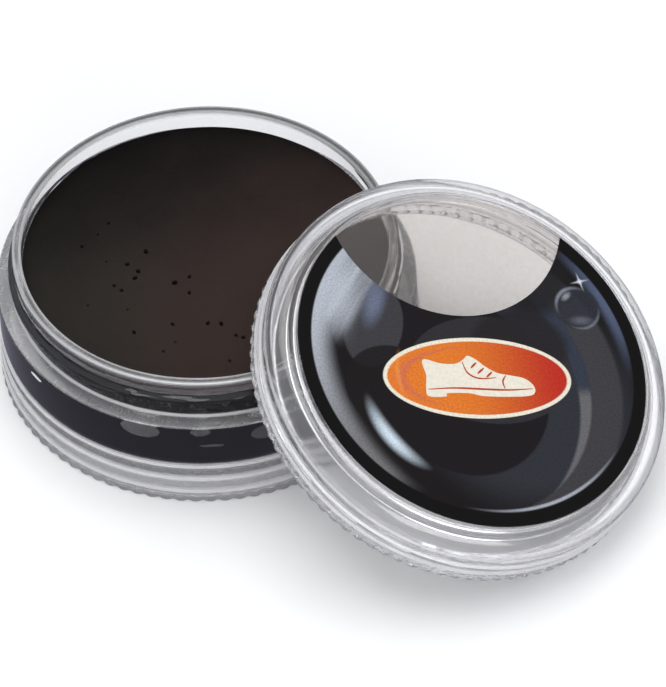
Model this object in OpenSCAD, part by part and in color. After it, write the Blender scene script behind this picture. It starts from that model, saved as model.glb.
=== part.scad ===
// Small clear screw-top jar of shoe polish, with its lid unscrewed and leaning on it.
// Origin: centre of the jar's foot, on the surface that it stands on. +Z is up.

/* [Jar] */
// Diameter of the jar's side wall
jar_d = 47.7; // [38:0.1:70]
// Height of the jar, from the foot to the rim
jar_h = 17.4; // [14:0.1:30]
// Height of the threaded neck above the shoulder
neck_h = 5.2; // [4.5:0.1:8]
// Step from the side wall in to the neck
shoulder_w = 2; // [1.8:0.05:3]
// Wall thickness of the neck
neck_wall = 1.05; // [0.8:0.05:1.6]
// Thickness of the cup's floor
floor_t = 1.2; // [0.8:0.1:2]
// Depth of the hollow under the floor
foot_depth = 3.3; // [1.5:0.1:5]
// Thickness of the foot ring
foot_wall = 1.6; // [1.1:0.1:2.5]

/* [Polish] */
// Distance from the rim down to the polish
freeboard = 2.4; // [1:0.1:6]
// Gap where the set polish has drawn back from the wall
shrink_gap = 0.06; // [0.02:0.01:0.2]

/* [Lid] */
// Room between the closed jar's rim and the lid's top, for the sealing bead
seal_h = 1.05; // [0.6:0.05:2]
// Thickness of the lid's top under the label
lid_top_t = 1; // [0.8:0.1:1.6]
// Depth of the recess that the label lies in
label_recess = 0.25; // [0.15:0.05:0.5]
// Width of the clear flat ring around the label's recess
top_ring_w = 0.7; // [0.4:0.1:2]
// Width of the rounded shoulder of the lid, seen from above
lid_round_w = 2.25; // [1.5:0.05:2.6]
// Height of the rounded shoulder of the lid
lid_round_h = 2.6; // [1.8:0.1:3]
// Gap between the closed lid's skirt and the jar's shoulder
skirt_gap = 0.2; // [0.1:0.05:0.5]

/* [Thread] */
// Rise of the thread in one turn
thread_pitch = 2.6; // [2.4:0.1:3]
// Height of the thread ridge above its wall
thread_rise = 0.6; // [0.4:0.05:0.8]
// Width of the thread ridge at its root
thread_root_w = 1.2; // [0.9:0.05:1.3]
// Width of the thread ridge at its crest
thread_crest_w = 0.5; // [0.3:0.05:0.6]
// Number of turns of thread
thread_turns = 1.1; // [0.6:0.1:1.2]
// Gap from a thread's crest to the wall across from it
thread_gap = 0.3; // [0.2:0.05:0.4]

/* [Grip] */
// Number of grip ribs around the jar's foot and around the lid's skirt
rib_count = 88; // [40:1:120]
// Depth of the flutes between the grip ribs
flute_depth = 0.25; // [0.15:0.05:0.35]
// Height of the ribbed band
rib_band_h = 1.5; // [1:0.1:2.5]
// Height of each of the jar's two plain steps above the ribbed band
tier_h = 1.95; // [1:0.05:2.4]
// Height of the lid's one plain step above the ribbed band
lid_tier_h = 1.2; // [0.8:0.1:2]
// How far each step stands out from the one above it
tier_rise = 0.1; // [0.05:0.05:0.2]

/* [Labels] */
// Gap between a label's edge and its recess
label_gap = 0.15; // [0.05:0.05:0.4]
// Thickness of a label
label_t = 0.15; // [0.1:0.05:0.2]
// Radius of the round bite that leaves a window in the lid's label
window_r = 14.5; // [8:0.1:20]
// Depth of that bite at its middle, from the label's edge
window_depth = 15.4; // [6:0.1:20]
// Gap between the underside label's edge and the foot ring
base_label_gap = 3; // [1:0.5:8]

/* [Lean] */
// Direction in which the lid lies from the jar, seen from above
lean_azimuth = -34; // [-180:1:180]
// How far the lid's skirt overlaps the jar's side wall, seen from above
lean_overlap = 15.8; // [12:0.1:18]
// Gap between the leaning lid and the rim that it rests on
lean_gap = 0.35; // [0.3:0.05:0.6]
// Turn of the lid about its own axis, from its lowest edge to the label's right side
lid_spin = 43.6; // [0:0.1:360]

/* [Hidden] */
$fn = 96;

// Radii of the jar
jar_r = jar_d / 2;
neck_r = jar_r - shoulder_w;
cavity_r = neck_r - neck_wall;
grip_r = jar_r + 3 * tier_rise;
foot_hollow_r = grip_r - foot_wall - 3 * tier_rise;
// Heights of the jar
shoulder_z = jar_h - neck_h;
floor_z = foot_depth + floor_t;
fill_z = jar_h - freeboard;
rib_cap = 0.15;
tier_1_z = rib_band_h + rib_cap;
tier_2_z = tier_1_z + tier_h;
tier_3_z = tier_2_z + tier_h;
cup_fillet = 0.9;
rim_round = 0.3;
edge_round = 0.35;

// Sizes of the lid, in its own frame: z = 0 is the skirt's edge
closed_rim_h = neck_h - skirt_gap;
ceiling_h = closed_rim_h + seal_h;
seat_h = ceiling_h + lid_top_t;
lid_h = seat_h + label_recess;
bore_r = neck_r + thread_rise + thread_gap;
lid_wall_r = grip_r - 2 * tier_rise;
lid_ring_r = lid_wall_r - lid_round_w;
recess_r = lid_ring_r - top_ring_w;
label_r = recess_r - label_gap;
lid_tier_2_h = tier_1_z + lid_tier_h;
seal_r = neck_r - neck_wall / 2;
seal_w = 0.6;
// Rounding between the bore and the ceiling; it ends a little below the ceiling, at the bead
bore_round_drop = 0.1;
bore_round_w = bore_r - seal_r - seal_w / 2 + bore_round_drop;
bore_round_h = seal_h + 0.6;

// Height of the middle of each thread's first ring, above the plain wall below the thread
thread_start = thread_root_w / 2 + 0.15;
neck_thread_z = shoulder_z + thread_start;
// How far a thread's root is sunk into its wall, its run-out in degrees, and its height at the tip
thread_sink = 0.15;
thread_taper = 40;
thread_tip_share = 0.04;

// Points of a round corner, as a share of an ellipse from angle a to angle b
function arc(x, z, rx, rz, a, b, steps = 8) =
    [for (i = [0 : steps]) let (t = a + (b - a) * i / steps) [x + rx * cos(t), z + rz * sin(t)]];

// Height of a ring of the leaning lid where it crosses above the edge of the jar's rim
function crossing_cos(t, r, reach) =
    (reach * cos(t) - sqrt(pow(reach * cos(t), 2)
        + pow(sin(t), 2) * (reach * reach + r * r - neck_r * neck_r))) / (r * pow(sin(t), 2));
function crossing_z(t, r, h) =
    grip_r * sin(t) + h * cos(t) - r * sin(t) * crossing_cos(t, r, lean_reach + h * sin(t));
// Room left over the rim at tilt t, under the skirt's edge and under the lid's thread
function rim_room(t) =
    min(crossing_z(t, bore_r, 0), crossing_z(t, bore_r - thread_rise, thread_start))
        - jar_h - lean_gap;
function solve_tilt(low, high, n) =
    n == 0 ? high
    : let (mid = (low + high) / 2)
        rim_room(mid) > 0 ? solve_tilt(low, mid, n - 1) : solve_tilt(mid, high, n - 1);

// Pose of the lid: its lowest edge is on the table and its skirt lies over the rim
lean_reach = 2 * grip_r - lean_overlap;
lean_tilt = solve_tilt(4, 60, 24);

module lean() {
    rotate([0, 0, lean_azimuth])
        translate([lean_reach, 0, grip_r * sin(lean_tilt)])
            rotate([0, lean_tilt, 0])
                children();
}

// One ring of a thread ridge: root up to crest and back, at angle a
function thread_ring(a, z, root, crest) = [
    [root * cos(a), root * sin(a), z - thread_root_w / 2],
    [crest * cos(a), crest * sin(a), z - thread_crest_w / 2],
    [crest * cos(a), crest * sin(a), z + thread_crest_w / 2],
    [root * cos(a), root * sin(a), z + thread_root_w / 2]
];

// A helical ridge on a wall of radius r, standing out to r + rise, with run-outs at both ends
module thread_ridge(r, rise, z) {
    step = 10;
    total = 360 * thread_turns;
    rings = ceil(total / step);
    side = sign(rise);
    points = [for (i = [0 : rings])
        let (a = total * i / rings, run = min(1, min(a, total - a) / thread_taper))
            each thread_ring(a, z + thread_pitch * a / 360, r - side * thread_sink,
                r + rise * (thread_tip_share + (1 - thread_tip_share) * run))];
    walls = [for (i = [0 : rings - 1], k = [0 : 3])
        let (p = 4 * i + k, q = 4 * i + (k + 1) % 4)
            each [[p, q, q + 4], [p, q + 4, p + 4]]];
    last = 4 * rings;
    caps = [[3, 2, 1], [3, 1, 0], [last, last + 1, last + 2], [last, last + 2, last + 3]];
    faces = concat(walls, caps);
    polyhedron(points, side > 0 ? faces : [for (f = faces) [f[0], f[2], f[1]]]);
}

// Shallow flutes all round a band of radius r, from the table up to height h
module flutes(r, h) {
    flute_share = 0.3;
    flute_r = flute_share * 2 * PI * r / rib_count;
    for (i = [0 : rib_count - 1])
        rotate([0, 0, 360 * i / rib_count])
            translate([r + flute_r - flute_depth, 0, -1])
                cylinder(r = flute_r, h = h + 1, $fn = 24);
}

module jar() {
    wall = concat(
        [[foot_hollow_r, 0], [grip_r, 0], [grip_r, tier_1_z]],
        [[grip_r - tier_rise, tier_1_z + tier_rise], [grip_r - tier_rise, tier_2_z]],
        [[grip_r - 2 * tier_rise, tier_2_z + tier_rise], [grip_r - 2 * tier_rise, tier_3_z]],
        [[jar_r, tier_3_z + tier_rise]],
        arc(jar_r - edge_round, shoulder_z - edge_round, edge_round, edge_round, 0, 90, 4),
        [[neck_r, shoulder_z]],
        arc(neck_r - rim_round, jar_h - rim_round, rim_round, rim_round, 0, 90, 4),
        arc(cavity_r + rim_round, jar_h - rim_round, rim_round, rim_round, 90, 180, 4),
        arc(cavity_r - cup_fillet, floor_z + cup_fillet, cup_fillet, cup_fillet, 0, -90, 5),
        [[0, floor_z], [0, foot_depth]],
        arc(foot_hollow_r - cup_fillet, foot_depth - cup_fillet, cup_fillet, cup_fillet, 90, 0, 5)
    );
    color([0.86, 0.87, 0.9, 0.45])
        union() {
            difference() {
                rotate_extrude() polygon(wall);
                flutes(grip_r, rib_band_h);
            }
            thread_ridge(neck_r, thread_rise, neck_thread_z);
        }
}

module polish() {
    cake_r = cavity_r - shrink_gap;
    crown_edge = 0.25;
    cake = concat(
        [[0, floor_z]],
        arc(cake_r - cup_fillet, floor_z + cup_fillet, cup_fillet, cup_fillet, -90, 0, 5),
        arc(cake_r - crown_edge, fill_z - crown_edge, crown_edge, crown_edge, 0, 90, 3),
        [[0, fill_z]]
    );
    color([0.13, 0.12, 0.12])
        rotate_extrude() polygon(cake);
}

module base_label() {
    color([0.93, 0.93, 0.92])
        translate([0, 0, foot_depth - label_t])
            cylinder(r = foot_hollow_r - cup_fillet - base_label_gap, h = label_t);
}

module lid() {
    shell = concat(
        [[bore_r, 0], [grip_r, 0], [grip_r, tier_1_z]],
        [[grip_r - tier_rise, tier_1_z + tier_rise], [grip_r - tier_rise, lid_tier_2_h]],
        [[lid_wall_r, lid_tier_2_h + tier_rise]],
        arc(lid_ring_r, lid_h - lid_round_h, lid_round_w, lid_round_h, 0, 90, 8),
        [[recess_r, lid_h], [recess_r, seat_h], [0, seat_h], [0, ceiling_h]],
        [[seal_r - seal_w / 2, ceiling_h], [seal_r - seal_w / 2, closed_rim_h]],
        [[seal_r + seal_w / 2, closed_rim_h], [seal_r + seal_w / 2, ceiling_h - bore_round_drop]],
        arc(bore_r - bore_round_w, ceiling_h - bore_round_drop - bore_round_h,
            bore_round_w, bore_round_h, 80, 0, 5)
    );
    color([0.86, 0.87, 0.9, 0.45])
        lean()
            rotate([0, 0, lid_spin])
                union() {
                    difference() {
                        rotate_extrude() polygon(shell);
                        flutes(grip_r, rib_band_h);
                    }
                    thread_ridge(bore_r, -thread_rise, thread_start);
                }
}

module lid_label() {
    color([0.12, 0.12, 0.14])
        lean()
            rotate([0, 0, lid_spin])
                translate([0, 0, seat_h])
                    linear_extrude(label_t)
                        difference() {
                            circle(label_r);
                            translate([0, label_r - window_depth + window_r])
                                circle(window_r);
                        }
}

jar();
polish();
base_label();
lid();
lid_label();
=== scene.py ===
"""A small clear screw-top jar of black shoe polish, with its lid unscrewed and leaning on it."""
import math

import bmesh
import bpy
from mathutils import Matrix, Vector


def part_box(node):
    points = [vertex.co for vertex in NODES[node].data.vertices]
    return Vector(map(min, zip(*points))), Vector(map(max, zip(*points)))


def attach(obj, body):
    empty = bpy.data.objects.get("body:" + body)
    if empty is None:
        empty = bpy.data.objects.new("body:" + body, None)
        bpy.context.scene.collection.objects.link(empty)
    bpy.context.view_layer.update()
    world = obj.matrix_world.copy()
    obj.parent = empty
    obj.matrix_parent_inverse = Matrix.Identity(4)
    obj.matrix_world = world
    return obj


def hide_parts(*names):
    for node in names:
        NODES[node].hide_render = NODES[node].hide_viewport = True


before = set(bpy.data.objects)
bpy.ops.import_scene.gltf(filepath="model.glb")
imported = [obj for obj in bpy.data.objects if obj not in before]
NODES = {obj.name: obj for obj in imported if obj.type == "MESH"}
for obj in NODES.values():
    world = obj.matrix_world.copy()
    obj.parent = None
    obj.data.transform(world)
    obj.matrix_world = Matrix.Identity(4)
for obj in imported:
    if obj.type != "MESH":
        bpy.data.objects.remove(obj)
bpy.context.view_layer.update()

MM = 0.001

# ---- sizes of the jar, in millimetres: the CAD's boxes, then steps inward from them ----
jar_low, jar_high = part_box("jar")
polish_low, polish_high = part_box("polish")
FULL_R = (jar_high.x - jar_low.x) / 2 / MM
# How far the visual wall stays inside the CAD's
SKIN_INSET = 0.015
GRIP_R = FULL_R - SKIN_INSET
JAR_H = jar_high.z / MM
FLOOR_Z = polish_low.z / MM
FILL_Z = polish_high.z / MM
TIER_RISE = 0.1
BODY_R = FULL_R - 3 * TIER_RISE
SHOULDER_W = 2.0
NECK_R = BODY_R - SHOULDER_W
NECK_WALL = 1.05
CAVITY_R = NECK_R - NECK_WALL
RIM_MIDDLE_R = NECK_R - NECK_WALL / 2
NECK_H = 5.2
SHOULDER_Z = JAR_H - NECK_H
FOOT_WALL = 1.6
FOOT_HOLLOW_R = BODY_R - FOOT_WALL
FLOOR_T = 1.2
FOOT_DEPTH = FLOOR_Z - FLOOR_T
RIB_BAND_H = 1.5
RIB_CAP = 0.15
TIER_1_Z = RIB_BAND_H + RIB_CAP
TIER_STEP = 1.95
STEP_BLEND = 0.3
STEPS_TOP = TIER_1_Z + 2 * TIER_STEP + STEP_BLEND
# How far each ledge is cut in, and how far the polish overlaps the wall that it wets
LEDGE_CUT = 0.2
WETTING = 0.01

# ---- sizes of the lid, in its own frame: z = 0 is the skirt's edge ----
LID_H = 7.3
THREAD_RISE = 0.6
THREAD_GAP = 0.3
BORE_R = NECK_R + THREAD_RISE + THREAD_GAP
LID_WALL_R = GRIP_R - 2 * TIER_RISE
LID_ROUND_W = 2.25
LID_ROUND_H = 2.6
LID_RING_R = LID_WALL_R - LID_ROUND_W
TOP_RING_W = 0.7
RECESS_R = LID_RING_R - TOP_RING_W
LABEL_RECESS = 0.25
SEAT_H = LID_H - LABEL_RECESS
LID_TOP_T = 1.0
CEILING_H = SEAT_H - LID_TOP_T
CLOSED_RIM_H = 5.0
SEAL_R = RIM_MIDDLE_R
SEAL_W = 0.6
LABEL_GAP = 0.15
LABEL_R = RECESS_R - LABEL_GAP
LABEL_T = 0.15
LID_TIER_H = 1.2
WINDOW_R = 14.5
WINDOW_DEPTH = 15.4

# ---- thread and grip ribs ----
THREAD_PITCH = 2.6
THREAD_ROOT_W = 1.2
THREAD_CREST_W = 0.5
THREAD_TURNS = 1.1
THREAD_START = 0.15
THREAD_RUN_OUTS = 9
RIB_COUNT = 88
FLUTE_DEPTH = 0.25
FLUTE_SHARPNESS = 1.5
FLUTE_FADE = 0.2
SEGMENTS = RIB_COUNT * 8

# ---- meshes: an edge sharper than this is shaded sharp; two sizes nearer than this are the same ----
SHARP_EDGE = math.radians(32)
NEAR = 0.01


# ---------------------------------------------------------------- profiles and lathes
def bend(corners, steps=5):
    """A path through corners (r, z, size): each corner is rounded over that length of its two sides."""
    path = []
    count = len(corners)
    for i, (r, z, size) in enumerate(corners):
        here = Vector((r, z))
        before = Vector(corners[i - 1][:2]) - here
        after = Vector(corners[(i + 1) % count][:2]) - here
        if size <= 0:
            path.append(here)
            continue
        start = here + before.normalized() * min(size, before.length * 0.49)
        end = here + after.normalized() * min(size, after.length * 0.49)
        for k in range(steps + 1):
            t = k / steps
            path.append(start * (1 - t) ** 2 + here * 2 * t * (1 - t) + end * t * t)
    return path


def fill_in(path, low, high, radius, gap):
    """The path with extra points, gap apart, along its straight wall of that radius."""
    out = []
    for i, here in enumerate(path):
        there = path[(i + 1) % len(path)]
        out.append(here)
        on_wall = abs(here.x - radius) < NEAR and abs(there.x - radius) < NEAR
        if on_wall and low <= min(here.y, there.y) and max(here.y, there.y) <= high:
            pieces = max(1, round(abs(there.y - here.y) / gap))
            out += [here.lerp(there, k / pieces) for k in range(1, pieces)]
    return out


def smooth_step(low, high, value):
    t = min(1, max(0, (value - low) / (high - low)))
    return t * t * (3 - 2 * t)


def flute(angle, z):
    """How far the outer wall is cut in between two grip ribs."""
    across = 0.5 + 0.5 * math.cos(angle * RIB_COUNT)
    fade = 1 - smooth_step(RIB_BAND_H - FLUTE_FADE, RIB_BAND_H, z)
    return -FLUTE_DEPTH * across ** FLUTE_SHARPNESS * fade


def ridge(angle, z, first_z):
    """Height of the thread ridge at a point of its wall. Both of its ends run out in a short ramp."""
    half_root = THREAD_ROOT_W / 2
    flat_half = THREAD_CREST_W / 2 * 0.8
    best = 0
    for turn in range(math.ceil(THREAD_TURNS)):
        along = angle / (2 * math.pi) + turn
        if along > THREAD_TURNS:
            continue
        away = abs(z - first_z - THREAD_PITCH * along)
        run = min(along, THREAD_TURNS - along) * THREAD_RUN_OUTS
        height = THREAD_RISE * smooth_step(0, 1, run)
        best = max(best, height * (1 - smooth_step(flat_half, half_root, away)))
    return best


def lathe(name, path, offset=None, haze_and_highlight=None, film=None, segments=SEGMENTS):
    """A solid of revolution about Z from a closed path in millimetres.
    offset(angle, point) moves a point of the wall outward or inward.
    haze_and_highlight(point) says how milky the plastic is there, painted highlights included, and
    film(point) is 1 where a film tints it."""
    rings = []
    verts = []
    for i, point in enumerate(path):
        if point.x < 1e-6:
            rings.append([len(verts)] * segments)
            verts.append((0, 0, point.y * MM))
            continue
        ring = []
        for k in range(segments):
            angle = 2 * math.pi * k / segments
            r = point.x + (offset(angle, point) if offset else 0)
            ring.append(len(verts))
            verts.append((r * math.cos(angle) * MM, r * math.sin(angle) * MM, point.y * MM))
        rings.append(ring)
    faces = []
    for i, ring in enumerate(rings):
        other = rings[(i + 1) % len(rings)]
        for k in range(segments):
            n = (k + 1) % segments
            face = [ring[k], ring[n], other[n], other[k]]
            face = [v for j, v in enumerate(face) if v != face[j - 1]]
            if len(face) > 2:
                faces.append(face)
    obj = mesh_object(name, verts, faces)
    for key, share in (("haze_and_highlight", haze_and_highlight), ("film", film)):
        values = []
        for point in path if share else []:
            values += [share(point)] * (1 if point.x < 1e-6 else segments)
        if share:
            obj.data.attributes.new(key, "FLOAT", "POINT").data.foreach_set("value", values)
    return obj


def mesh_object(name, verts, faces):
    mesh = bpy.data.meshes.new(name)
    mesh.from_pydata(verts, [], faces)
    mesh.validate()
    mesh.update()
    mesh.polygons.foreach_set("use_smooth", [True] * len(mesh.polygons))
    mesh.set_sharp_from_angle(angle=SHARP_EDGE)
    obj = bpy.data.objects.new(name, mesh)
    bpy.context.scene.collection.objects.link(obj)
    return obj


# ---------------------------------------------------------------- where the lid lies
def lid_matrix():
    """The lid's own frame in the row frame, read off the frame's lid and label.
    Its Z points out of the lid's top and its Y points to the top of the label."""
    label = NODES["lid_label"].data
    up = Vector()
    for face in label.polygons:
        if face.normal.z > 0.5:
            up += face.normal * face.area
    up.normalize()
    side = up.orthogonal().normalized()
    other = up.cross(side)
    points = [v.co for v in NODES["lid"].data.vertices]
    spans = []
    for axis in (side, other):
        along = [p.dot(axis) for p in points]
        spans.append((min(along) + max(along)) / 2)
    base = min(p.dot(up) for p in points)
    centre = side * spans[0] + other * spans[1] + up * base
    area = 0
    middle = Vector()
    for face in label.polygons:
        if face.normal.dot(up) > 0.9:
            area += face.area
            middle += face.center * face.area
    y = centre - middle / area
    y = (y - up * y.dot(up)).normalized()
    x = y.cross(up)
    return Matrix((x, y, up)).transposed().to_4x4(), centre


LID_TURN, LID_CENTRE = lid_matrix()
LID_PLACE = Matrix.Translation(LID_CENTRE) @ LID_TURN


def put_on_lid(obj):
    obj.data.transform(LID_PLACE)
    return obj


# ---------------------------------------------------------------- node helpers
class Shader:
    """Short names for building a material's node tree."""

    def __init__(self, name):
        self.material = bpy.data.materials.new(name)
        self.material.use_nodes = True
        self.tree = self.material.node_tree
        self.surface = self.tree.nodes["Principled BSDF"]

    def node(self, kind, **values):
        node = self.tree.nodes.new(kind)
        for key, value in values.items():
            setattr(node, key, value)
        return node

    def plug(self, socket, value):
        if isinstance(value, bpy.types.NodeSocket):
            self.tree.links.new(value, socket)
        else:
            socket.default_value = value

    def math(self, operation, a, b=0.0, c=0.0, clamp=False):
        node = self.node("ShaderNodeMath", operation=operation, use_clamp=clamp)
        for socket, value in zip(node.inputs, (a, b, c)):
            self.plug(socket, value)
        return node.outputs[0]

    def ramp(self, value, low, high, out_low=0.0, out_high=1.0):
        node = self.node("ShaderNodeMapRange", interpolation_type="SMOOTHSTEP")
        sockets = ("Value", "From Min", "From Max", "To Min", "To Max")
        for key, item in zip(sockets, (value, low, high, out_low, out_high)):
            self.plug(node.inputs[key], item)
        return node.outputs[0]

    def mix(self, factor, a, b):
        node = self.node("ShaderNodeMix", data_type="RGBA")
        self.plug(node.inputs["Factor"], factor)
        self.plug(node.inputs[6], a)
        self.plug(node.inputs[7], b)
        return node.outputs[2]

    def noise(self, vector, scale, detail=3.0, roughness=0.5):
        node = self.node("ShaderNodeTexNoise")
        self.plug(node.inputs["Vector"], vector)
        node.inputs["Scale"].default_value = scale
        node.inputs["Detail"].default_value = detail
        node.inputs["Roughness"].default_value = roughness
        return node.outputs["Fac"]

    def object_coords(self):
        return self.node("ShaderNodeTexCoord").outputs["Object"]

    def bump(self, height, strength, distance):
        node = self.node("ShaderNodeBump")
        self.plug(node.inputs["Height"], height)
        node.inputs["Strength"].default_value = strength
        node.inputs["Distance"].default_value = distance
        self.plug(self.surface.inputs["Normal"], node.outputs[0])

    def set(self, **values):
        for key, value in values.items():
            self.plug(self.surface.inputs[key.replace("_", " ")], value)


def srgb(r, g, b):
    """A colour given as 0 to 255 in sRGB, as linear RGBA."""
    def linear(v):
        v /= 255
        return v / 12.92 if v <= 0.04045 else ((v + 0.055) / 1.055) ** 2.4
    return (linear(r), linear(g), linear(b), 1.0)


# ---------------------------------------------------------------- materials
def clear_plastic():
    """Moulded clear polystyrene. Its ribs, shoulder and rim are milky with mould haze; its ledges and
    the neck's foot are milky white as painted highlights.
    The lid's window has a warm grey tint, as of a film."""
    s = Shader("clear_plastic")
    clear = (0.965, 0.96, 0.975, 1.0)
    tinted = (0.52, 0.467, 0.42, 1.0)
    place = s.object_coords()
    haze_and_highlight = s.node("ShaderNodeAttribute", attribute_name="haze_and_highlight").outputs["Fac"]
    flow = s.noise(place, 420.0, 3.0)
    # milky also carries painted highlights: the ledges and the neck's foot are made milky white to stand
    # in for bright highlight lines
    milky = s.math("MULTIPLY", haze_and_highlight, s.ramp(flow, 0.3, 0.7, 0.72, 0.8), clamp=True)
    handling = s.ramp(s.noise(place, 1200.0, 4.0), 0.45, 0.75, 0.03, 0.08)
    film = s.node("ShaderNodeAttribute", attribute_name="film").outputs["Fac"]
    speck = s.ramp(s.noise(place, 1500.0, 5.0, 0.7), 0.3, 0.7, 0.85, 1.0)
    tint = s.mix(s.math("MULTIPLY", film, speck), clear, tinted)
    s.set(Base_Color=tint, IOR=1.59)
    s.set(Transmission_Weight=s.math("SUBTRACT", 1.0, milky))
    s.set(Roughness=s.math("MULTIPLY_ADD", haze_and_highlight, 1.1, handling))
    s.bump(flow, 0.08, 0.00005)
    return s.material


def black_polish():
    """Set wax paste: matte brown-black with soft clouds and a grain, and a painted sheen: lighter to the
    front and right, darker to the back and left.
    Its side and the insides of its pits are painted nearly black, as painted shade."""
    s = Shader("black_polish")
    place = s.object_coords()
    split = s.node("ShaderNodeSeparateXYZ")
    s.plug(split.inputs[0], place)
    cloud = s.noise(place, 90.0, 4.0, 0.6)
    grain = s.noise(place, 2600.0, 3.0, 0.6)
    # painted sheen: the polish is painted lighter and warmer to the front and right, darker to the back
    # and left
    forward = s.math("MULTIPLY", split.outputs["Y"], -1.0)
    painted_sheen_slope = s.math("MULTIPLY_ADD", split.outputs["X"], 0.35, forward)
    light = s.math("MULTIPLY_ADD", cloud, 0.012, painted_sheen_slope)
    painted_sheen_colour = s.mix(s.ramp(split.outputs["X"], -0.017, 0.003), srgb(37, 34, 30), srgb(49, 38, 35))
    tone = s.mix(s.ramp(light, -0.016, 0.012), srgb(8, 6, 5), painted_sheen_colour)
    # painted shade: below the top face, the cake's side and the insides of its pits are painted nearly
    # black
    face = s.ramp(split.outputs["Z"], (FILL_Z - 0.34) * MM, (FILL_Z - 0.22) * MM)
    tone = s.mix(face, srgb(7, 6, 8), tone)
    s.set(Base_Color=tone, Roughness=s.ramp(grain, 0.3, 0.7, 0.5, 0.68))
    s.set(Specular_IOR_Level=0.06)
    both = s.math("ADD", s.math("MULTIPLY", cloud, 0.6), s.math("MULTIPLY", grain, 0.15))
    s.bump(both, 0.4, 0.00014)
    return s.material


def label_paper():
    s = Shader("label_paper")
    place = s.object_coords()
    fibre = s.noise(place, 1800.0, 4.0, 0.65)
    tone = s.mix(s.ramp(fibre, 0.35, 0.65), srgb(226, 225, 220), srgb(238, 237, 233))
    s.set(Base_Color=tone, Roughness=s.ramp(fibre, 0.3, 0.7, 0.5, 0.62))
    s.bump(fibre, 0.1, 0.00002)
    return s.material


class LabelArt(Shader):
    """Printed art on the lid's label, in millimetres from the label's centre: x right, y up."""

    def __init__(self, name):
        super().__init__(name)
        uv = self.node("ShaderNodeUVMap", uv_map="label").outputs["UV"]
        split = self.node("ShaderNodeSeparateXYZ")
        self.plug(split.inputs[0], uv)
        self.uv = uv
        self.x = self.math("MULTIPLY_ADD", split.outputs["X"], 2 * LABEL_R, -LABEL_R)
        self.y = self.math("MULTIPLY_ADD", split.outputs["Y"], 2 * LABEL_R, -LABEL_R)
        self.colour = srgb(21, 17, 19)

    def turned(self, centre, angle):
        dx = self.math("SUBTRACT", self.x, centre[0])
        dy = self.math("SUBTRACT", self.y, centre[1])
        if not angle:
            return dx, dy
        c, s = math.cos(math.radians(angle)), math.sin(math.radians(angle))
        along = self.math("ADD", self.math("MULTIPLY", dx, c), self.math("MULTIPLY", dy, s))
        across = self.math("SUBTRACT", self.math("MULTIPLY", dy, c), self.math("MULTIPLY", dx, s))
        return along, across

    def length(self, a, b):
        squares = [self.math("MULTIPLY", side, side) for side in (a, b)]
        return self.math("SQRT", self.math("ADD", *squares))

    def oval(self, centre, radii, soft=0.02, angle=0):
        """1 inside an ellipse and 0 outside. The edge fades over that share of its size."""
        along, across = self.turned(centre, angle)
        sides = [self.math("DIVIDE", side, radius) for side, radius in zip((along, across), radii)]
        away = self.length(*sides)
        return self.ramp(away, 1 - soft, 1 + soft * 0.2, 1.0, 0.0)

    def arc(self, centre, radius, half_width, middle, half_angle, core=0.2):
        """A curved streak that tapers at both ends. Its middle is at an angle in degrees."""
        along, across = self.turned(centre, middle)
        off = self.math("DIVIDE", self.math("SUBTRACT", self.length(along, across), radius), half_width)
        turn = self.math("DIVIDE", self.math("ARCTAN2", across, along), math.radians(half_angle))
        return self.ramp(self.length(off, turn), core, 1.0, 1.0, 0.0)

    def both(self, a, b):
        """The part that two masks share."""
        return self.math("MULTIPLY", a, b)

    def without(self, a, b):
        """The part of mask a outside mask b."""
        return self.math("MULTIPLY", a, self.math("SUBTRACT", 1.0, b))

    def paint(self, colour, mask, strength=1.0):
        """Lays a colour over what is printed so far."""
        amount = mask if strength == 1.0 else self.math("MULTIPLY", mask, strength)
        self.colour = self.mix(amount, self.colour, colour)


def paint_field(art):
    """Dark glassy field: overlapping lobes and crescents of slate, grey and pale blue."""
    rim = art.oval((0, 0), (19.45, 19.3), 0.012)
    art.paint(srgb(46, 48, 55), art.both(rim, art.oval((5, -5), (15.5, 15), 0.35)), 0.95)
    outer_b = art.oval((-1.2, -2.5), (18.9, 18.9), 0.03)
    outer_a = art.oval((-3.4, -2.8), (17.1, 17.1), 0.02)
    inner_a = art.oval((-6.5, -3.5), (18.7, 18.7), 0.02)
    upper = art.ramp(art.y, -5.0, -3.2)
    art.paint(srgb(62, 61, 65), art.both(rim, art.without(outer_b, outer_a)), 0.85)
    crescent = art.without(outer_a, inner_a)
    art.paint(srgb(50, 56, 70), art.both(crescent, upper), 0.9)
    art.paint(srgb(106, 104, 108), art.without(crescent, upper), 0.85)
    art.paint(srgb(24, 20, 23), art.oval((-2.2, -3.3), (10.7, 11.4), 0.03))
    art.paint(srgb(25, 23, 26), art.both(rim, art.oval((9.5, 9.5), (6.0, 4.5), 0.5, 40)), 0.8)
    art.paint(srgb(47, 45, 50), art.oval((1.8, -1.4), (10, 6.8), 0.02), 0.9)
    art.paint(srgb(30, 26, 28), art.oval((6.0, 1.8), (6.4, 4.6), 0.2), 0.7)
    paint_left_shine(art, rim)
    right = art.both(rim, art.arc((0, 0), 19.0, 1.5, 22, 32, 0.1))
    art.paint(srgb(92, 104, 132), right, 0.7)
    art.paint(srgb(176, 180, 190), art.arc((0, 0.25), 19.2, 0.32, -70, 36, 0.2), 0.8)
    return rim


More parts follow.
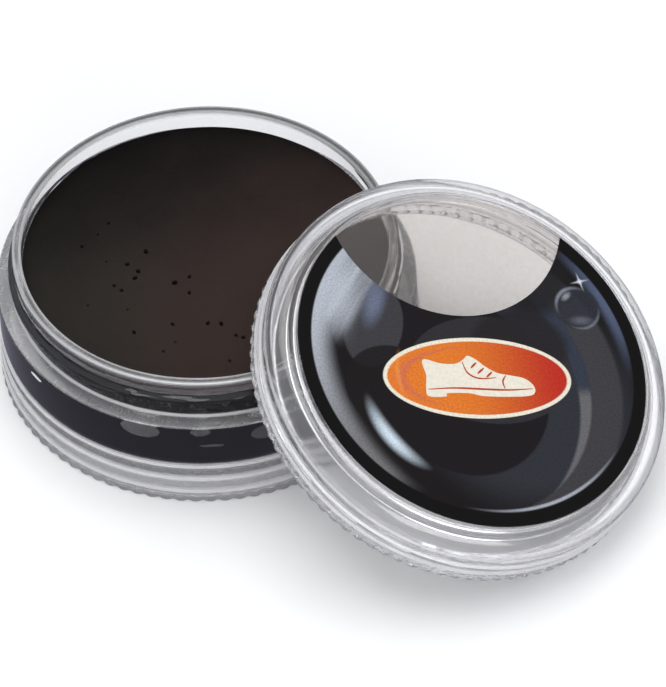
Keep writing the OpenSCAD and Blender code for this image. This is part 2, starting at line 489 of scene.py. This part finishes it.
def paint_left_shine(art, rim):
    """The pale crescent down the left side, with streaks at its top and a bright flash beside it."""
    hollow = art.oval((2.6, -3.0), (19.0, 19.0), 0.1)
    left = art.both(art.without(rim, hollow), art.ramp(art.x, -6.0, -9.0))
    along, across = art.turned((0, 0), 52)
    streaks = art.node("ShaderNodeCombineXYZ")
    art.plug(streaks.inputs["X"], art.math("MULTIPLY", along, 0.07))
    art.plug(streaks.inputs["Y"], across)
    stripe = art.ramp(art.noise(streaks.outputs[0], 0.75, 2.0), 0.35, 0.65, 0.45, 1.0)
    high = art.ramp(art.y, 1.0, 7.0)
    shade = art.mix(art.ramp(art.y, -14.0, 6.0), srgb(112, 110, 112), srgb(176, 181, 189))
    body = art.ramp(art.length(art.x, art.y), 16.2, 19.0)
    solid = art.math("MAXIMUM", body, art.both(high, stripe))
    art.paint(srgb(60, 59, 64), art.both(rim, art.oval((-11.4, 4.2), (3.5, 5.6), 0.06, -24)), 0.95)
    art.paint(shade, art.both(left, art.both(solid, art.ramp(art.y, -17.0, -13.5))), 0.95)
    glow = art.both(rim, art.oval((-15.6, 8.4), (3.4, 6.6), 0.9, -24))
    art.paint(srgb(182, 187, 197), glow, 0.8)
    art.paint(srgb(112, 122, 146), art.oval((-10.7, 7.2), (1.5, 3.9), 0.85, -26), 0.75)
    art.paint(srgb(24, 20, 22), art.oval((-10.4, -3.6), (5.9, 5.4), 0.04), 0.9)
    art.paint(srgb(208, 222, 234), art.arc((-2, -3.3), 11.9, 1.25, 213, 30, 0.08), 0.95)


def paint_bubble(art):
    """A small glassy bubble with a spark of light on its upper edge."""
    centre = (14.1, 6.5)
    disc = art.oval(centre, (2.9, 2.9), 0.06)
    art.paint(srgb(44, 46, 54), disc, 0.85)
    art.paint(srgb(128, 132, 142), art.arc(centre, 2.55, 0.35, 130, 80, 0.1), 0.9)
    art.paint(srgb(112, 116, 126), art.arc(centre, 2.6, 0.3, -60, 75, 0.1), 0.8)
    art.paint(srgb(150, 154, 162), art.oval((13.0, 8.0), (0.9, 0.45), 0.9, 40), 0.8)
    art.paint(srgb(96, 99, 108), art.oval((14.3, 4.9), (1.7, 0.7), 0.9), 0.8)
    star = (15.1, 9.9)
    for angle in (0, 90):
        art.paint(srgb(205, 210, 220), art.oval(star, (1.25, 0.16), 0.9, angle + 12), 0.8)
    art.paint(srgb(215, 220, 228), art.oval(star, (0.4, 0.4), 0.9), 0.8)


def paint_badge(art):
    """A plain orange oval with a cream edge; its colour turns red to the right."""
    centre = (0, -2.4)
    art.paint(srgb(232, 226, 208), art.oval(centre, (11.5, 5.1), 0.012))
    orange = art.mix(art.ramp(art.x, -4.0, 11.0), srgb(222, 120, 42), srgb(184, 44, 33))
    art.paint(orange, art.oval(centre, (11.05, 4.65), 0.02))
    wide = art.oval((0.1, -2.4), (10.4, 4.1), 0.1)
    narrow = art.oval((1.4, -2.5), (10.2, 4.15), 0.05)
    art.paint(srgb(196, 104, 84), art.without(wide, narrow), 0.6)
    art.paint(srgb(236, 150, 74), art.arc(centre, 9.6, 0.5, 178, 24, 0.1), 0.5)


def printed_label():
    art = LabelArt("printed_label")
    rim = paint_field(art)
    paint_bubble(art)
    art.paint(srgb(9, 7, 8), art.math("SUBTRACT", 1.0, rim))
    paint_badge(art)
    grain = art.noise(art.uv, 170.0, 2.0, 0.7)
    speck = art.node("ShaderNodeHueSaturation")
    art.plug(speck.inputs["Value"], art.ramp(grain, 0.25, 0.75, 0.66, 0.94))
    art.plug(speck.inputs["Color"], art.colour)
    art.set(Base_Color=speck.outputs[0], Roughness=art.ramp(grain, 0.2, 0.8, 0.38, 0.46))
    art.set(Specular_IOR_Level=0.1)
    art.bump(grain, 0.05, 0.00002)
    return art.material


# ---------------------------------------------------------------- the jar
def ledge(z, low_r, high_r):
    """Corners of a small step in a wall: a ledge that looks up, then the wall above it."""
    rise, back_out = 0.07, 1.1
    return [(low_r, z, 0.06), (high_r - LEDGE_CUT, z + rise, 0.04), (high_r, z + back_out, 0.3)]


def on_ledge(z, heights):
    """1 on the ledges at those heights, 0 on the wall between them."""
    middle, inner, outer = 0.03, 0.06, 0.11
    return max(1 - smooth_step(inner, outer, abs(z - height - middle)) for height in heights)


def jar_haze_and_highlight(point):
    """How milky the jar is at a point of its profile. The ledges and the neck's foot are milky white as
    painted highlights.
    """
    if point.x > NECK_R + 0.35:
        steps = 0.18 * (1 - smooth_step(STEPS_TOP, STEPS_TOP + 0.3, point.y))
        # painted highlight: the ledges are milky white to stand in for bright highlight lines
        ledges = 0.75 * on_ledge(point.y, [TIER_1_Z + i * TIER_STEP for i in range(3)])
        shoulder = 0.2 * smooth_step(SHOULDER_Z - 0.25, SHOULDER_Z - 0.1, point.y)
        return max(steps, ledges, shoulder)
    if point.x > NECK_R - 0.05 and point.y < JAR_H - 0.3:
        # painted highlight: the neck's foot is milky white to stand in for a bright highlight line
        foot = 0.7 * (1 - smooth_step(SHOULDER_Z + 0.1, SHOULDER_Z + 0.3, point.y))
        return foot + 0.08 * smooth_step(JAR_H - 0.9, JAR_H - 0.4, point.y)
    if point.y > JAR_H - 0.4:
        return 0.1 + 0.28 * smooth_step(0.1, 0.4, abs(point.x - RIM_MIDDLE_R))
    return 0.12 if point.y < FOOT_DEPTH + NEAR else 0.0


def make_jar(material):
    """The jar, from its foot up the outside, over the rim, down into the cup and under the floor."""
    corners = [(FOOT_HOLLOW_R, 0, 0.25), (GRIP_R, 0, 0.2)]
    for i in range(3):
        low_r = GRIP_R - i * TIER_RISE
        high_r = GRIP_R - (i + 1) * TIER_RISE
        corners += ledge(TIER_1_Z + i * TIER_STEP, low_r, high_r)
    corners += [
        (BODY_R, SHOULDER_Z, 0.3), (NECK_R, SHOULDER_Z, 0.4), (NECK_R, JAR_H, 0.22),
        (NECK_R - 0.44, JAR_H, 0), (NECK_R - 0.6, JAR_H, 0), (CAVITY_R, JAR_H, 0.3),
        (CAVITY_R, FLOOR_Z, 0.9), (0, FLOOR_Z, 0), (0, FOOT_DEPTH, 0),
        (FOOT_HOLLOW_R, FOOT_DEPTH, 0.9),
    ]
    path = fill_in(bend(corners), SHOULDER_Z, JAR_H, NECK_R, 0.12)
    path = fill_in(path, 0, TIER_1_Z, GRIP_R, 0.2)
    path = fill_in(path, STEPS_TOP - STEP_BLEND, SHOULDER_Z, BODY_R, 0.15)
    path = fill_in(path, FLOOR_Z, JAR_H, CAVITY_R, 0.3)
    first = SHOULDER_Z + THREAD_ROOT_W / 2 + THREAD_START

    def offset(angle, point):
        if point.x > BODY_R + NEAR and point.y < RIB_BAND_H:
            return flute(angle, point.y)
        if abs(point.x - NECK_R) < NEAR and point.y > SHOULDER_Z:
            return ridge(angle, point.y, first)
        return 0

    jar = lathe("jar_shell", path, offset, jar_haze_and_highlight)
    jar.data.materials.append(material)
    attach(jar, "root")
    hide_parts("jar")


# ---------------------------------------------------------------- the polish
# Places where the polish has come away from the wall: angle in degrees, height, half sizes in mm
DRAWN_BACK = [
    (-112, 9.4, 2.1, 1.2), (-94, 9.8, 1.0, 0.6), (-74, 8.7, 1.9, 1.1), (-91, 7.6, 1.3, 0.18),
    (-150, 9.0, 0.9, 0.25), (-50, 9.0, 1.6, 0.8), (-22, 9.6, 1.2, 0.6), (12, 8.8, 1.9, 0.9),
    (48, 9.6, 1.5, 0.7), (83, 9.1, 1.8, 0.8), (117, 9.5, 1.3, 0.6), (160, 9.2, 1.7, 0.8),
]
# Small air pits in the face of the polish: x, y and radius in mm
PITS = [
    (-6.6, 1.4, 0.3), (-8.8, -0.4, 0.26), (-7.6, -1.6, 0.28), (-8.0, -2.6, 0.28), (-10.4, -3.6, 0.22),
    (-9.6, -4.4, 0.24), (-1.8, -2.9, 0.24), (-3.5, -3.7, 0.32), (-1.9, -5.4, 0.24), (-4.0, -10.1, 0.24),
    (0.0, -10.3, 0.26), (1.5, -10.5, 0.28), (3.1, -12.4, 0.22), (3.9, -12.8, 0.24), (-8.4, -11.0, 0.24),
    (-3.8, -12.9, 0.16), (-5.2, -14.2, 0.18), (-13.5, -6.5, 0.14), (-13.9, 2.8, 0.2), (-12.0, 4.5, 0.16),
    (-10.7, 6.2, 0.18), (-9.0, -7.4, 0.14), (2.2, -16.3, 0.2), (6.4, -8.2, 0.14), (-11.2, 0.2, 0.14),
]


def drawn_back(angle, z):
    """1 inside a patch where the polish stands off the wall, 0 elsewhere."""
    most = 0
    for middle, height, half_w, half_h in DRAWN_BACK:
        turn = (math.degrees(angle) - middle + 180) % 360 - 180
        across = math.radians(turn) * CAVITY_R / half_w
        away = math.hypot(across, (z - height) / half_h)
        most = max(most, 1 - smooth_step(0.92, 1.0, away))
    return most


def polish_wave(x, y):
    """How far the poured face lies under its edge."""
    broad = math.sin(0.31 * x + 1.1) * math.cos(0.27 * y - 0.4)
    fine = 0.5 * math.sin(0.5 * y + 0.4 * x)
    edge = min(1, math.hypot(x, y) / CAVITY_R)
    dip, swing = 0.1, 0.04
    return (dip + swing * (broad + fine)) * (1 - edge ** 8)


def cut_pits(cake):
    """Cuts the air pits out of the cake's face: small uneven globes, longer front to back."""
    verts, faces = [], []
    turns, rings = 20, 10
    unevenness, length, depth = 0.12, 1.25, 1.3
    for x, y, radius in PITS:
        base = len(verts)
        top = FILL_Z - polish_wave(x, y)
        for i in range(rings + 1):
            fall = math.pi * i / rings
            for k in range(turns):
                angle = 2 * math.pi * k / turns
                wide = radius * math.sin(fall) * (1 + unevenness * math.sin(2 * angle + 7 * x))
                at_x = x + wide * math.cos(angle)
                at_y = y + length * wide * math.sin(angle)
                at_z = top + depth * radius * math.cos(fall)
                verts.append((at_x * MM, at_y * MM, at_z * MM))
        for i in range(rings):
            for k in range(turns):
                a, b = base + i * turns + k, base + i * turns + (k + 1) % turns
                faces.append([a, a + turns, b + turns, b])
    cutter = mesh_object("pit_cutter", verts, faces)
    tidy = bmesh.new()
    tidy.from_mesh(cutter.data)
    bmesh.ops.remove_doubles(tidy, verts=tidy.verts, dist=1e-7)
    tidy.to_mesh(cutter.data)
    tidy.free()
    cut = cake.modifiers.new("pits", "BOOLEAN")
    cut.operation = "DIFFERENCE"
    cut.solver = "EXACT"
    cut.object = cutter
    depsgraph = bpy.context.evaluated_depsgraph_get()
    mesh = bpy.data.meshes.new_from_object(cake.evaluated_get(depsgraph))
    cake.modifiers.clear()
    cake.data = mesh
    bpy.data.objects.remove(cutter)


def make_polish(material):
    """The cake of polish: a slightly uneven face with pits, wetted to the wall but for some patches."""
    wet_r = CAVITY_R + WETTING
    floor_gap, draw_back, face_rings = 0.02, 0.09, 30
    low = FLOOR_Z + floor_gap
    corners = [(0, low, 0), (wet_r, low, 0.9), (wet_r, FILL_Z, 0.12), (0, FILL_Z, 0)]
    path = fill_in(bend(corners), low, FILL_Z, wet_r, 0.09)
    top = [wet_r * (1 - k / face_rings) for k in range(1, face_rings)]
    path = path[:-1] + [Vector((r, FILL_Z)) for r in top if r < wet_r - 0.2] + path[-1:]

    def offset(angle, point):
        if abs(point.x - wet_r) > NEAR:
            return 0
        return -(WETTING + draw_back) * drawn_back(angle, point.y)

    cake = lathe("polish_cake", path, offset, segments=720)
    for v in cake.data.vertices:
        if v.co.z / MM > FILL_Z - NEAR:
            v.co.z -= polish_wave(v.co.x / MM, v.co.y / MM) * MM
    cut_pits(cake)
    cake.data.set_sharp_from_angle(angle=SHARP_EDGE)
    cake.data.materials.clear()
    cake.data.materials.append(material)
    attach(cake, "root")
    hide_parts("polish")


def make_base_label(material):
    """The plain label under the cup's floor."""
    low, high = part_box("base_label")
    r = (high.x - low.x) / 2 / MM
    top = high.z / MM
    bottom = low.z / MM
    path = bend([(0, bottom, 0), (r, bottom, 0.05), (r, top, 0.05), (0, top, 0)], 3)
    label = lathe("underside_label", path, segments=256)
    label.data.materials.append(material)
    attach(label, "root")
    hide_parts("base_label")


# ---------------------------------------------------------------- the lid
def lid_haze_and_highlight(point):
    """How milky the lid is at a point of its profile: milky on the ribs, and milky white on the ledges
    as painted highlights.
    """
    if point.y > SEAT_H + 0.05 or point.x > BORE_R + 0.3:
        # painted highlight: the ledges are milky white to stand in for bright highlight lines
        ledges = 0.6 * on_ledge(point.y, [TIER_1_Z, TIER_1_Z + LID_TIER_H, LID_H - LID_ROUND_H])
        return max(ledges, 0.2 - 0.15 * smooth_step(RIB_BAND_H, RIB_BAND_H + 0.2, point.y))
    if point.x < RECESS_R + 0.05 and point.y > SEAT_H - 0.1:
        return 0.04
    return 0.06 if point.x > SEAL_R else 0.0


def lid_shoulder():
    """The lid's rounded shoulder, a quarter of an ellipse."""
    steps = 12
    round_z = LID_H - LID_ROUND_H
    points = []
    for k in range(steps + 1):
        turn = math.pi / 2 * k / steps
        r = LID_RING_R + LID_ROUND_W * math.cos(turn)
        points.append((r, round_z + LID_ROUND_H * math.sin(turn), 0))
    return points


def bore_corner():
    """The rounded inside corner of the lid, from the sealing bead's foot out to the threaded bore."""
    steps = 11
    drop = 0.1
    wide = BORE_R - SEAL_R - SEAL_W / 2 + 0.1
    high = CEILING_H - CLOSED_RIM_H + 0.6
    points = []
    for k in range(steps + 1):
        turn = math.radians(80 - 80 * k / steps)
        r = BORE_R - wide * (1 - math.cos(turn))
        points.append((r, CEILING_H - drop - high * (1 - math.sin(turn)), 0))
    return points


def make_lid(material):
    """The lid, from its skirt's edge up the outside, into the label's recess and down the inside."""
    corners = [(BORE_R, 0, 0.2), (GRIP_R, 0, 0.2)]
    corners += ledge(TIER_1_Z, GRIP_R, GRIP_R - TIER_RISE)
    corners += ledge(TIER_1_Z + LID_TIER_H, GRIP_R - TIER_RISE, LID_WALL_R)
    corners += lid_shoulder()
    seal_in = SEAL_R - SEAL_W / 2
    seal_out = SEAL_R + SEAL_W / 2
    corners += [
        (RECESS_R, LID_H, 0.12), (RECESS_R, SEAT_H, 0.08), (0, SEAT_H, 0), (0, CEILING_H, 0),
        (seal_in, CEILING_H, 0.2), (seal_in, CLOSED_RIM_H, 0.2),
        (seal_out, CLOSED_RIM_H, 0.2), (seal_out, CEILING_H - 0.1, 0.15),
    ]
    corners += bore_corner()
    path = fill_in(bend(corners), 0, CEILING_H, BORE_R, 0.12)
    path = fill_in(path, 0, TIER_1_Z, GRIP_R, 0.2)
    first = THREAD_ROOT_W / 2 + THREAD_START

    def offset(angle, point):
        if point.x > LID_WALL_R + NEAR and point.y < RIB_BAND_H:
            return flute(angle, point.y)
        if abs(point.x - BORE_R) < NEAR:
            return -ridge(angle, point.y, first)
        return 0

    def film(point):
        return 1.0 if point.x < RECESS_R - NEAR and abs(point.y - SEAT_H) < NEAR else 0.0

    lid = lathe("lid_shell", path, offset, lid_haze_and_highlight, film)
    put_on_lid(lid)
    lid.data.materials.append(material)
    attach(lid, "lid")
    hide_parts("lid")


def label_outline(steps=240):
    """The label's edge: its circle, and the round bite that leaves the window."""
    bite_y = LABEL_R - WINDOW_DEPTH + WINDOW_R
    corner_y = (LABEL_R ** 2 + bite_y ** 2 - WINDOW_R ** 2) / (2 * bite_y)
    corner_x = math.sqrt(LABEL_R ** 2 - corner_y ** 2)
    start = math.atan2(corner_y, -corner_x)
    end = math.atan2(corner_y, corner_x) + 2 * math.pi
    edge = []
    for k in range(steps + 1):
        a = start + (end - start) * k / steps
        edge.append((LABEL_R * math.cos(a), LABEL_R * math.sin(a)))
    first = math.atan2(corner_y - bite_y, corner_x)
    last = math.atan2(corner_y - bite_y, -corner_x)
    last = last - 2 * math.pi if last > first else last
    bite = steps // 3
    for k in range(1, bite):
        a = first + (last - first) * k / bite
        edge.append((WINDOW_R * math.cos(a), bite_y + WINDOW_R * math.sin(a)))
    return edge


def slab(name, outline, low, high):
    """A flat piece in the lid's frame, from its outline in millimetres and its two heights."""
    count = len(outline)
    verts = [(x * MM, y * MM, low * MM) for x, y in outline]
    verts += [(x * MM, y * MM, high * MM) for x, y in outline]
    faces = [list(range(count))[::-1], list(range(count, 2 * count))]
    for k in range(count):
        n = (k + 1) % count
        faces.append([k, n, count + n, count + k])
    return mesh_object(name, verts, faces)


def make_lid_label(material):
    """The printed label, with a flat map of its face for the art."""
    label = slab("printed_lid_label", label_outline(), SEAT_H + 0.01, SEAT_H + LABEL_T)
    layer = label.data.uv_layers.new(name="label")
    for loop in label.data.loops:
        co = label.data.vertices[loop.vertex_index].co / MM
        layer.data[loop.index].uv = (0.5 + co.x / (2 * LABEL_R), 0.5 + co.y / (2 * LABEL_R))
    put_on_lid(label)
    label.data.materials.append(material)
    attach(label, "lid")
    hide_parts("lid_label")


def smooth_line(points, closed=True, steps=6):
    """A Catmull-Rom curve through the points."""
    count = len(points)
    out = []
    for i in range(count if closed else count - 1):
        around = [i - 1, i, i + 1, i + 2]
        if closed:
            at = [points[k % count] for k in around]
        else:
            at = [points[min(count - 1, max(0, k))] for k in around]
        for k in range(steps):
            t = k / steps
            weights = (
                -t + 2 * t * t - t ** 3,
                2 - 5 * t * t + 3 * t ** 3,
                t + 4 * t * t - 3 * t ** 3,
                t ** 3 - t * t,
            )
            out.append(tuple(sum(w * q[j] for w, q in zip(weights, at)) / 2 for j in (0, 1)))
    return out if closed else out + [points[-1]]


def ribbon(points, width):
    """The outline of a line of that width, tapered to its ends."""
    left, right = [], []
    last = len(points) - 1
    for i, here in enumerate(points):
        after, before = points[min(i + 1, last)], points[max(i - 1, 0)]
        dx, dy = after[0] - before[0], after[1] - before[1]
        size = math.hypot(dx, dy)
        half = width / 2 * min(1, 0.35 + 2 * min(i, last - i) / len(points))
        left.append((here[0] - dy / size * half, here[1] + dx / size * half))
        right.append((here[0] + dy / size * half, here[1] - dx / size * half))
    return right + left[::-1]


# A plain lace-up shoe, toe to the right, in millimetres from the badge's centre
SHOE = [
    (-6.4, -2.3), (-4.3, -2.35), (-4.0, -1.95), (-1.4, -1.95), (0.2, -2.3), (3.0, -2.4), (5.8, -2.3),
    (6.7, -1.8), (6.6, -0.9), (5.7, -0.1), (4.0, 0.3), (2.5, 0.6), (1.2, 1.4), (0.2, 2.3),
    (-0.7, 2.75), (-1.3, 2.3), (-2.4, 1.75), (-4.2, 1.8), (-5.9, 2.3), (-6.4, 1.9), (-6.2, 0.3),
    (-6.5, -1.2),
]
# The shoe's lines: sole, toe cap, lace flap and three laces, each with its width
SHOE_LINES = [
    ([(-6.3, -1.45), (-3.0, -1.3), (0.5, -1.45), (3.5, -1.55), (6.5, -1.4)], 0.24),
    ([(3.5, 0.3), (3.0, -0.5), (3.1, -1.4)], 0.2),
    ([(-1.5, 2.0), (-1.1, 0.6), (0.2, -0.1), (2.3, 0.0)], 0.2),
    ([(0.2, 1.9), (-0.6, 1.2)], 0.26),
    ([(1.0, 1.2), (0.1, 0.5)], 0.26),
    ([(1.9, 0.7), (1.1, 0.05)], 0.26),
]


def make_pictogram(ink, line_ink):
    """The plain shoe printed on the badge, as two thin layers of ink."""
    badge_y = -2.35
    low = SEAT_H + LABEL_T
    outline = [(x, y + badge_y) for x, y in smooth_line(SHOE)]
    shoe = slab("printed_shoe", outline, low - 0.01, low + 0.012)
    lines = []
    for points, width in SHOE_LINES:
        path = smooth_line([(x, y + badge_y) for x, y in points], closed=False)
        lines.append(slab("printed_line", ribbon(path, width), low, low + 0.02))
    for k, obj in enumerate([shoe] + lines):
        obj.name = "printed_shoe" if k == 0 else f"printed_shoe_line_{k}"
        put_on_lid(obj)
        obj.data.materials.append(line_ink if k else ink)
        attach(obj, "lid")


def flat_ink(name, dark, light):
    s = Shader(name)
    grain = s.noise(s.object_coords(), 2400.0, 2.0)
    s.set(Base_Color=s.mix(s.ramp(grain, 0.3, 0.7), dark, light))
    s.set(Roughness=s.ramp(grain, 0.2, 0.8, 0.38, 0.46), Specular_IOR_Level=0.1)
    return s.material


# ---------------------------------------------------------------- stage, lights, camera
def make_stage():
    """A plain pale floor. Glossy rays pass it, so the jar's wall mirrors the dim lower world instead."""
    s = Shader("floor_white")
    place = s.object_coords()
    tone = s.mix(s.noise(place, 40.0), srgb(243, 243, 243), srgb(246, 246, 246))
    s.set(Base_Color=tone, Roughness=0.9, Specular_IOR_Level=0.1)
    half = 1.5
    corners = [(-half, -half, 0), (half, -half, 0), (half, half, 0), (-half, half, 0)]
    floor = mesh_object("floor", corners, [[0, 1, 2, 3]])
    floor.data.materials.append(s.material)
    floor.visible_glossy = False


def area_light(name, place, target, size, power):
    data = bpy.data.lights.new(name, "AREA")
    data.shape = "RECTANGLE"
    data.size, data.size_y = size
    data.energy = power
    light = bpy.data.objects.new(name, data)
    light.location = place
    light.rotation_euler = (Vector(target) - Vector(place)).to_track_quat("-Z", "Y").to_euler()
    bpy.context.scene.collection.objects.link(light)


def make_lights():
    """A bright sky over a dim lower half, and two soft boxes."""
    world = bpy.data.worlds.new("studio")
    world.use_nodes = True
    tree = world.node_tree
    direction = tree.nodes.new("ShaderNodeTexCoord")
    split = tree.nodes.new("ShaderNodeSeparateXYZ")
    rise = tree.nodes.new("ShaderNodeMapRange")
    rise.inputs["From Min"].default_value = -0.1
    rise.inputs["From Max"].default_value = 0.25
    shade = tree.nodes.new("ShaderNodeMix")
    shade.data_type = "RGBA"
    shade.inputs[6].default_value = (0.34, 0.33, 0.42, 1.0)
    shade.inputs[7].default_value = (0.95, 0.97, 1.0, 1.0)
    tree.links.new(direction.outputs["Generated"], split.inputs[0])
    tree.links.new(split.outputs["Z"], rise.inputs["Value"])
    tree.links.new(rise.outputs[0], shade.inputs["Factor"])
    background = tree.nodes["Background"]
    tree.links.new(shade.outputs[2], background.inputs["Color"])
    background.inputs["Strength"].default_value = 0.75
    bpy.context.scene.world = world
    area_light("top_softbox", (-0.1, 0.15, 0.9), (0.01, 0, 0), (0.8, 0.8), 4.2)
    area_light("front_softbox", (0.25, -0.8, 0.32), (0.01, 0, 0.01), (0.9, 0.4), 3.8)


def make_camera():
    """Looks down at the jar from the front, from far away, as a product photograph does."""
    down = math.radians(47.41)
    turn = math.radians(-1.61)
    roll = math.radians(-2.2)
    place = (0, -0.51033, 0.55446)
    data = bpy.data.cameras.new("camera")
    data.sensor_width = 36
    data.lens = 340.6
    data.clip_start = 0.05
    camera = bpy.data.objects.new("camera", data)
    pose = Matrix.Rotation(turn, 4, "Z") @ Matrix.Rotation(math.pi / 2 - down, 4, "X")
    camera.matrix_world = Matrix.Translation(place) @ pose @ Matrix.Rotation(roll, 4, "Z")
    bpy.context.scene.collection.objects.link(camera)
    bpy.context.scene.camera = camera


def make_everything():
    plastic = clear_plastic()
    make_jar(plastic)
    make_polish(black_polish())
    make_base_label(label_paper())
    make_lid(plastic)
    make_lid_label(printed_label())
    make_pictogram(
        flat_ink("cream_ink", srgb(206, 200, 185), srgb(216, 210, 196)),
        flat_ink("rust_ink", srgb(158, 58, 34), srgb(170, 66, 38)),
    )
    make_stage()
    make_lights()
    make_camera()
    bpy.context.scene.view_settings.view_transform = "Standard"


make_everything()
